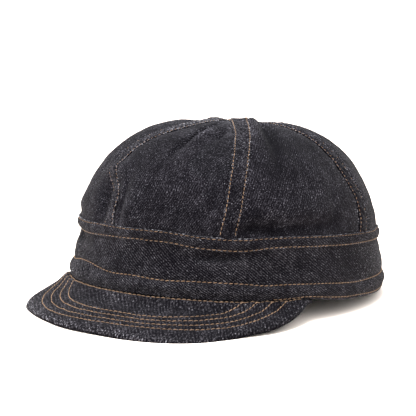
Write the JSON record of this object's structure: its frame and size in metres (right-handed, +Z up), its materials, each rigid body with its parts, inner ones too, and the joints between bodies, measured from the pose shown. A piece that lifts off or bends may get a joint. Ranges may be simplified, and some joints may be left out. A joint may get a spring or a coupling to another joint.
{
  "type": "work cap",
  "caption": "Soft denim work cap with a panelled crown, felled seams, a deep band with a turned-up hem and a short curved brim",
  "frame": {"origin": "under the middle of the cap's box, on the surface that it rests on", "axes": "the brim faces -Y, the wearer's left is +X, +Z is up"},
  "size_m": [0.1752, 0.2542, 0.103],
  "materials": {
    "crown_denim": "matte slubby twill",
    "seam_denim": "matte abraded twill",
    "band_denim": "matte slubby twill",
    "brim_denim": "matte slubby twill",
    "thread": "golden tan topstitching thread"
  },
  "bodies": {
    "root": {"crown_panel_front": "crown_denim", "crown_panel_front_left": "crown_denim", "crown_panel_back_left": "crown_denim", "crown_panel_back": "crown_denim", "crown_panel_back_right": "crown_denim", "crown_panel_front_right": "crown_denim", "seam_strip_left": "seam_denim", "seam_strip_back_left": "seam_denim", "seam_strip_right": "seam_denim", "seam_strip_front_right": "seam_denim", "seam_strip_over_top": "seam_denim", "band": "band_denim", "brim": "brim_denim"}
  },
  "joints": []
}
